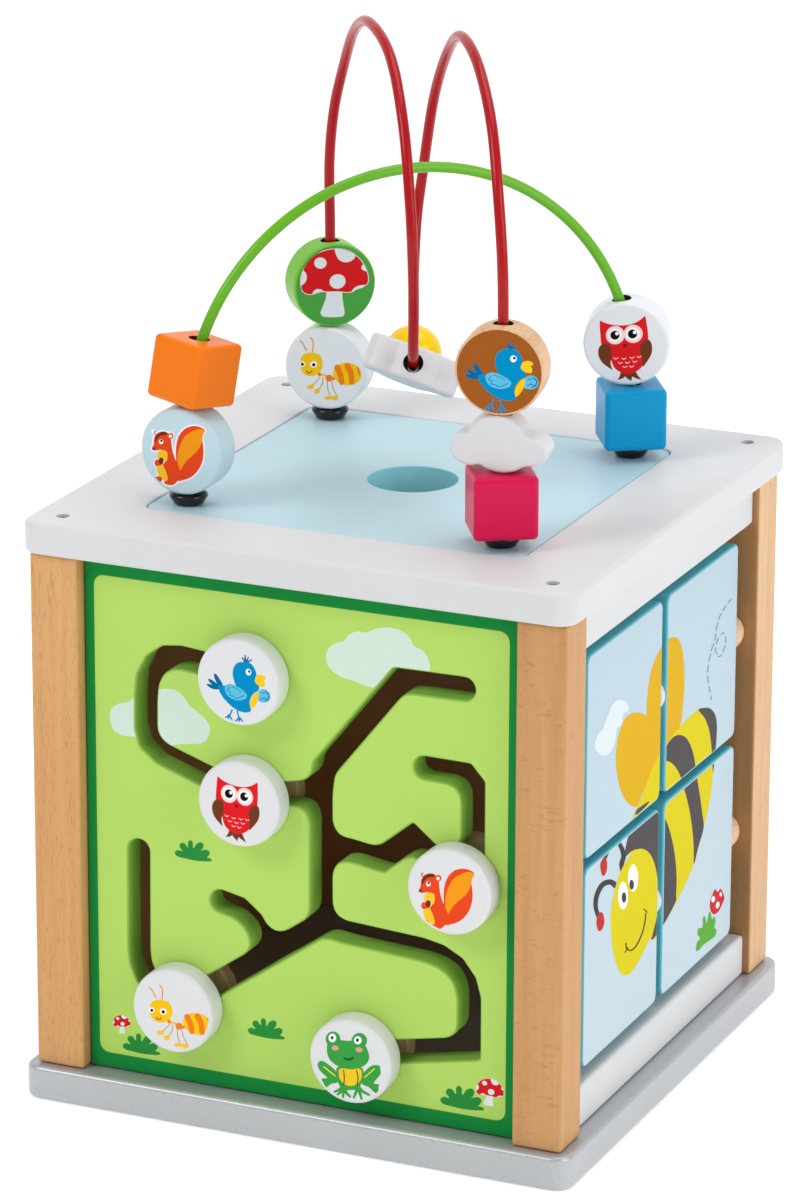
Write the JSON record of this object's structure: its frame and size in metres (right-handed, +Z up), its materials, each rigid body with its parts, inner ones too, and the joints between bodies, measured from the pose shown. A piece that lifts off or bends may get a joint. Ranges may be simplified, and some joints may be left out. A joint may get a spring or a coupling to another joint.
{
  "type": "baby activity cube",
  "caption": "Wooden baby activity cube with a sliding maze front, flip tiles, gears, a play clock and a wire bead maze on a lift-out lid.",
  "frame": {"origin": "centre of the base board's underside, on the floor plane", "axes": "+Z up; -Y is the maze side, +X is the flip-tile side, -X the gear side, +Y the clock side"},
  "size_m": [0.253, 0.253, 0.4563],
  "materials": {
    "base_board_m": "silver-grey satin paint on board",
    "post_fl_m": "clear satin lacquer on beech",
    "post_fr_m": "clear satin lacquer on beech",
    "post_bl_m": "clear satin lacquer on beech",
    "post_br_m": "clear satin lacquer on beech",
    "top_frame_m": "white satin paint",
    "lid_batten_left_m": "bare wood",
    "lid_batten_right_m": "bare wood",
    "lid_panel_m": "light blue satin paint",
    "grommet_fl_m": "black, glossy",
    "grommet_fr_m": "black, glossy",
    "grommet_bl_m": "black, glossy",
    "grommet_br_m": "black, glossy",
    "wire_green_m": "glossy plastic coating on steel wire",
    "wire_red_m": "glossy plastic coating on steel wire",
    "bead_ant_coin_m": "white satin paint, printed ant",
    "bead_mushroom_coin_m": "green satin paint, printed toadstool",
    "bead_pink_cube_m": "pink gloss paint",
    "bead_cloud_low_m": "white satin paint",
    "bead_bird_coin_m": "brown face on bare wood, printed bird",
    "bead_squirrel_coin_m": "light blue satin paint, printed squirrel",
    "bead_orange_cube_m": "orange gloss paint",
    "bead_blue_cube_m": "blue gloss paint",
    "bead_owl_coin_m": "white satin paint, printed owl",
    "bead_cloud_high_m": "white satin paint",
    "bead_yellow_ball_m": "yellow gloss paint",
    "maze_panel_m": "printed satin paint on fibreboard, dark green border",
    "knob_bird_m": "white satin paint, printed bird",
    "retainer_bird_m": "bare wood",
    "knob_owl_m": "white satin paint, printed owl",
    "retainer_owl_m": "bare wood",
    "knob_squirrel_m": "white satin paint, printed squirrel",
    "retainer_squirrel_m": "bare wood",
    "knob_ant_m": "white satin paint, printed ant",
    "retainer_ant_m": "bare wood",
    "knob_frog_m": "white satin paint, printed frog",
    "retainer_frog_m": "bare wood",
    "rail_low_m": "white satin paint",
    "tile_dowel_low_m": "bare wood",
    "spacer_low_m": "white paint",
    "tile_low_front_m": "printed satin face, teal edges",
    "collar_low_front_m": "bare turned wood",
    "tile_low_back_m": "printed satin face, teal edges",
    "collar_low_back_m": "bare turned wood",
    "rail_top_m": "white satin paint",
    "tile_dowel_top_m": "bare wood",
    "spacer_top_m": "white paint",
    "tile_top_front_m": "printed satin face, teal edges",
    "collar_top_front_m": "bare turned wood",
    "tile_top_back_m": "printed satin face, teal edges",
    "collar_top_back_m": "bare turned wood",
    "left_panel_m": "satin paint",
    "gear_red_m": "satin paint",
    "gear_yellow_m": "satin paint",
    "gear_green_m": "satin paint",
    "back_panel_m": "printed satin paint, clock face",
    "clock_hour_hand_m": "satin paint",
    "clock_minute_hand_m": "satin paint",
    "clock_pin_m": "satin paint"
  },
  "bodies": {
    "carcass": {"base_board": "base_board_m", "post_fl": "post_fl_m", "post_fr": "post_fr_m", "post_bl": "post_bl_m", "post_br": "post_br_m", "top_frame": "top_frame_m", "lid_batten_left": "lid_batten_left_m", "lid_batten_right": "lid_batten_right_m", "maze_panel": "maze_panel_m", "rail_low": "rail_low_m", "rail_top": "rail_top_m", "tile_dowel_low": "tile_dowel_low_m", "tile_dowel_top": "tile_dowel_top_m", "collar_low_front": "collar_low_front_m", "collar_low_back": "collar_low_back_m", "collar_top_front": "collar_top_front_m", "collar_top_back": "collar_top_back_m", "spacer_low": "spacer_low_m", "spacer_top": "spacer_top_m", "left_panel": "left_panel_m", "back_panel": "back_panel_m", "clock_pin": "clock_pin_m"},
    "lid": {"lid_panel": "lid_panel_m", "grommet_fl": "grommet_fl_m", "grommet_fr": "grommet_fr_m", "grommet_bl": "grommet_bl_m", "grommet_br": "grommet_br_m", "wire_green": "wire_green_m", "wire_red": "wire_red_m"},
    "ant_coin": {"bead_ant_coin": "bead_ant_coin_m"},
    "mushroom_coin": {"bead_mushroom_coin": "bead_mushroom_coin_m"},
    "pink_cube": {"bead_pink_cube": "bead_pink_cube_m"},
    "cloud_low": {"bead_cloud_low": "bead_cloud_low_m"},
    "bird_coin": {"bead_bird_coin": "bead_bird_coin_m"},
    "squirrel_coin": {"bead_squirrel_coin": "bead_squirrel_coin_m"},
    "orange_cube": {"bead_orange_cube": "bead_orange_cube_m"},
    "blue_cube": {"bead_blue_cube": "bead_blue_cube_m"},
    "owl_coin": {"bead_owl_coin": "bead_owl_coin_m"},
    "cloud_high": {"bead_cloud_high": "bead_cloud_high_m"},
    "yellow_ball": {"bead_yellow_ball": "bead_yellow_ball_m"},
    "knob_bird": {"knob_bird": "knob_bird_m", "retainer_bird": "retainer_bird_m"},
    "knob_owl": {"knob_owl": "knob_owl_m", "retainer_owl": "retainer_owl_m"},
    "knob_squirrel": {"knob_squirrel": "knob_squirrel_m", "retainer_squirrel": "retainer_squirrel_m"},
    "knob_ant": {"knob_ant": "knob_ant_m", "retainer_ant": "retainer_ant_m"},
    "knob_frog": {"knob_frog": "knob_frog_m", "retainer_frog": "retainer_frog_m"},
    "tile_low_front": {"tile_low_front": "tile_low_front_m"},
    "tile_low_back": {"tile_low_back": "tile_low_back_m"},
    "tile_top_front": {"tile_top_front": "tile_top_front_m"},
    "tile_top_back": {"tile_top_back": "tile_top_back_m"},
    "gear_red": {"gear_red": "gear_red_m"},
    "gear_yellow": {"gear_yellow": "gear_yellow_m"},
    "gear_green": {"gear_green": "gear_green_m"},
    "hour_hand": {"clock_hour_hand": "clock_hour_hand_m"},
    "minute_hand": {"clock_minute_hand": "clock_minute_hand_m"}
  },
  "joints": [
    {"name": "lid_lift", "type": "slide", "parent": "carcass", "child": "lid", "axis": [0, 0, 1], "range_m": [0, 0.06]},
    {"name": "ant_coin_slide", "type": "slide", "parent": "lid", "child": "ant_coin", "axis": [0, 0, 1], "range_m": [0, 0.018]},
    {"name": "mushroom_coin_slide", "type": "slide", "parent": "ant_coin", "child": "mushroom_coin", "axis": [0, 0, 1], "range_m": [0, 0.024]},
    {"name": "pink_cube_slide", "type": "slide", "parent": "lid", "child": "pink_cube", "axis": [0, 0, 1], "range_m": [0, 0.006]},
    {"name": "cloud_low_slide", "type": "slide", "parent": "pink_cube", "child": "cloud_low", "axis": [0, 0, 1], "range_m": [0, 0.006]},
    {"name": "bird_coin_slide", "type": "slide", "parent": "cloud_low", "child": "bird_coin", "axis": [0, 0, 1], "range_m": [0, 0.012]},
    {"name": "squirrel_coin_spin", "type": "hinge", "parent": "lid", "child": "squirrel_coin", "pos_m": [-0.0715, -0.0715, 0.283], "axis": [0, 0, 1], "continuous": true},
    {"name": "blue_cube_spin", "type": "hinge", "parent": "lid", "child": "blue_cube", "pos_m": [0.0715, 0.0715, 0.278], "axis": [0, 0, 1], "continuous": true},
    {"name": "orange_cube_slide", "type": "hinge", "parent": "lid", "child": "orange_cube", "pos_m": [0, 0, 0.294], "axis": [-0.7071, 0.7071, 0], "range_deg": [0, 60]},
    {"name": "owl_coin_slide", "type": "hinge", "parent": "lid", "child": "owl_coin", "pos_m": [0, 0, 0.294], "axis": [0.7071, -0.7071, 0], "range_deg": [0, 60]},
    {"name": "cloud_high_slide", "type": "hinge", "parent": "lid", "child": "cloud_high", "pos_m": [0, 0, 0.37], "axis": [-0.9148, -0.4039, 0], "range_deg": [0, 12]},
    {"name": "yellow_ball_slide", "type": "hinge", "parent": "lid", "child": "yellow_ball", "pos_m": [0, 0, 0.37], "axis": [0.9148, 0.4039, 0], "range_deg": [0, 28]},
    {"name": "knob_bird_slide", "type": "slide", "parent": "carcass", "child": "knob_bird", "axis": [-0.9965, 0, 0.083], "range_m": [0, 0.034]},
    {"name": "knob_owl_slide", "type": "slide", "parent": "carcass", "child": "knob_owl", "axis": [0.9778, 0, 0.2093], "range_m": [0, 0.032]},
    {"name": "knob_squirrel_slide", "type": "slide", "parent": "carcass", "child": "knob_squirrel", "axis": [-0.7772, 0, 0.6292], "range_m": [0, 0.026]},
    {"name": "knob_ant_slide", "type": "slide", "parent": "carcass", "child": "knob_ant", "axis": [0.8153, 0, 0.5791], "range_m": [0, 0.07]},
    {"name": "knob_frog_slide", "type": "slide", "parent": "carcass", "child": "knob_frog", "axis": [0.98, 0, 0.1988], "range_m": [0, 0.048]},
    {"name": "tile_low_front_flip", "type": "hinge", "parent": "carcass", "child": "tile_low_front", "pos_m": [0.1086, -0.04475, 0.0835], "axis": [0, 1, 0], "continuous": true},
    {"name": "tile_low_back_flip", "type": "hinge", "parent": "carcass", "child": "tile_low_back", "pos_m": [0.1086, 0.04475, 0.0835], "axis": [0, 1, 0], "continuous": true},
    {"name": "tile_top_front_flip", "type": "hinge", "parent": "carcass", "child": "tile_top_front", "pos_m": [0.1086, -0.04475, 0.1765], "axis": [0, 1, 0], "continuous": true},
    {"name": "tile_top_back_flip", "type": "hinge", "parent": "carcass", "child": "tile_top_back", "pos_m": [0.1086, 0.04475, 0.1765], "axis": [0, 1, 0], "continuous": true},
    {"name": "gear_red_spin", "type": "hinge", "parent": "carcass", "child": "gear_red", "pos_m": [-0.11, -0.036, 0.178], "axis": [1, 0, 0], "continuous": true},
    {"name": "gear_yellow_spin", "type": "hinge", "parent": "carcass", "child": "gear_yellow", "pos_m": [-0.11, 0.017, 0.149], "axis": [1, 0, 0], "continuous": true},
    {"name": "gear_green_spin", "type": "hinge", "parent": "carcass", "child": "gear_green", "pos_m": [-0.11, -0.016, 0.0986], "axis": [1, 0, 0], "continuous": true},
    {"name": "hour_hand_turn", "type": "hinge", "parent": "carcass", "child": "hour_hand", "pos_m": [0, 0.11, 0.132], "axis": [0, 1, 0], "continuous": true},
    {"name": "minute_hand_turn", "type": "hinge", "parent": "carcass", "child": "minute_hand", "pos_m": [0, 0.11, 0.132], "axis": [0, 1, 0], "continuous": true}
  ],
  "couplings": [
    {"joint": "gear_yellow_spin", "follows": "gear_red_spin", "ratio": -1},
    {"joint": "gear_green_spin", "follows": "gear_red_spin", "ratio": 1}
  ]
}
